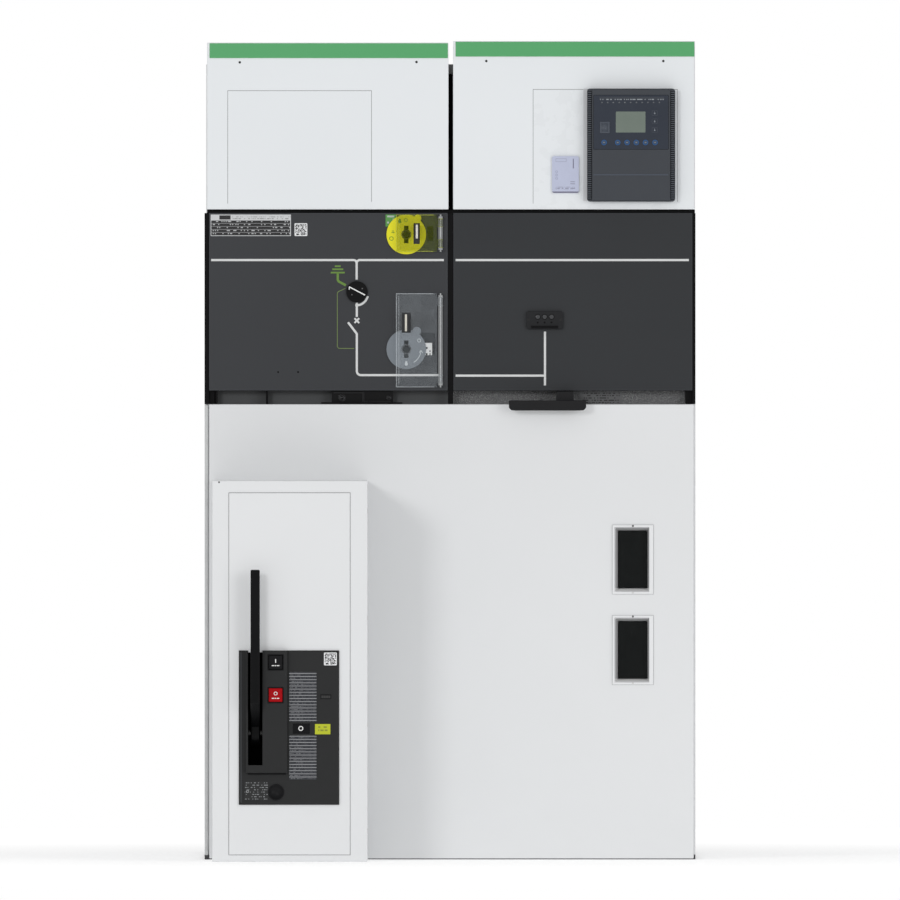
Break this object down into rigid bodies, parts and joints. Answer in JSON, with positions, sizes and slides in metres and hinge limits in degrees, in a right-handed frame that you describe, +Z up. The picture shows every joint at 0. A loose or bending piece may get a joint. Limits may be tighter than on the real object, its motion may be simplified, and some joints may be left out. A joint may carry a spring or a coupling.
{
  "type": "gas insulated circuit breaker switchgear cubicle",
  "caption": "Floor-standing medium-voltage switchgear cubicle with a gas insulated circuit breaker, mimic panels, earthing switch, disconnector and protection relay.",
  "frame": {"origin": "on the floor, at the centre of the four anchor holes in the base frame", "axes": "+Z up, +X to the right as seen from the front, -Y out of the front"},
  "size_m": [0.96, 1.257, 1.6],
  "materials": {
    "base": "satin black",
    "zinc_sheet": "satin grey coating",
    "outer_panel": "fine textured light grey powder coat",
    "dark_sheet": "satin black",
    "front_panel": "fine textured off-white powder coat",
    "lv_panel": "fine textured off-white powder coat",
    "window_frame": "moulded light grey",
    "window_glass": "smoked, polished",
    "fascia": "moulded, fine grain",
    "steel": "zinc plated",
    "lever": "moulded black",
    "black_button": "moulded black",
    "red_button": "moulded red",
    "black_trim": "moulded black",
    "yellow_flag": "yellow label",
    "mimic": "satin anthracite",
    "grey_rail": "textured grey",
    "yellow_dial": "moulded yellow",
    "yellow_flap": "translucent yellow, polished",
    "grey_dial": "moulded grey",
    "clear_flap": "clear, polished",
    "green_band": "smooth green",
    "relay": "moulded blue-grey",
    "card": "smooth pale lavender"
  },
  "bodies": {
    "cubicle": {"base_frame": "base", "floor_plate": "zinc_sheet", "left_side_panel": "outer_panel", "right_side_panel": "outer_panel", "rear_panel": "outer_panel", "roof_panel": "outer_panel", "busbar_front_wall": "dark_sheet", "lv_shelf": "dark_sheet", "lower_front_panel": "front_panel", "upper_window_frame": "window_frame", "upper_window_glass": "window_glass", "lower_window_frame": "window_frame", "lower_window_glass": "window_glass", "breaker_enclosure": "front_panel", "enclosure_cover": "front_panel", "control_fascia": "fascia", "charging_shaft": "steel", "state_indicator": "black_trim", "spring_indicator": "yellow_flag", "left_mimic_panel": "mimic", "right_mimic_panel": "mimic", "mimic_trims": "black_trim", "recess_rail": "grey_rail", "key_lock": "black_trim", "panel_handle": "lever", "voltage_indicator": "black_trim", "earthing_dial": "yellow_dial", "earthing_hinge": "steel", "disconnector_dial": "grey_dial", "disconnector_hinge": "steel", "padlock_tabs": "steel", "left_lv_box": "zinc_sheet", "left_lv_cover": "lv_panel", "right_lv_box": "zinc_sheet", "right_lv_cover": "lv_panel", "left_header_band": "green_band", "right_header_band": "green_band", "protection_relay": "relay", "info_card": "card"},
    "earthing_flap": {"earthing_flap": "yellow_flap"},
    "disconnector_flap": {"disconnector_flap": "clear_flap"},
    "charging_lever": {"charging_lever": "lever"},
    "close_button": {"close_button": "black_button"},
    "open_button": {"open_button": "red_button"},
    "position_indicator": {"position_indicator": "black_trim"}
  },
  "joints": [
    {"name": "earthing_flap_hinge", "type": "hinge", "parent": "cubicle", "child": "earthing_flap", "pos_m": [-0.0185, -0.472, 1.222], "axis": [0, 0, 1], "range_deg": [0, 105]},
    {"name": "disconnector_flap_hinge", "type": "hinge", "parent": "cubicle", "child": "disconnector_flap", "pos_m": [-0.0185, -0.472, 0.9977], "axis": [0, 0, 1], "range_deg": [0, 105]},
    {"name": "charging_lever_pivot", "type": "hinge", "parent": "cubicle", "child": "charging_lever", "pos_m": [-0.3785, -0.715, 0.25], "axis": [1, 0, 0], "range_deg": [0, 80]},
    {"name": "close_button_press", "type": "slide", "parent": "cubicle", "child": "close_button", "axis": [0, 1, 0], "range_m": [0, 0.004], "stiffness_N_per_m": 1500, "springref_m": -0.002},
    {"name": "open_button_press", "type": "slide", "parent": "cubicle", "child": "open_button", "axis": [0, 1, 0], "range_m": [0, 0.004], "stiffness_N_per_m": 1500, "springref_m": -0.002},
    {"name": "position_indicator_turn", "type": "hinge", "parent": "cubicle", "child": "position_indicator", "pos_m": [-0.182, -0.462, 1.1097], "axis": [0, 1, 0], "range_deg": [0, 62]}
  ]
}
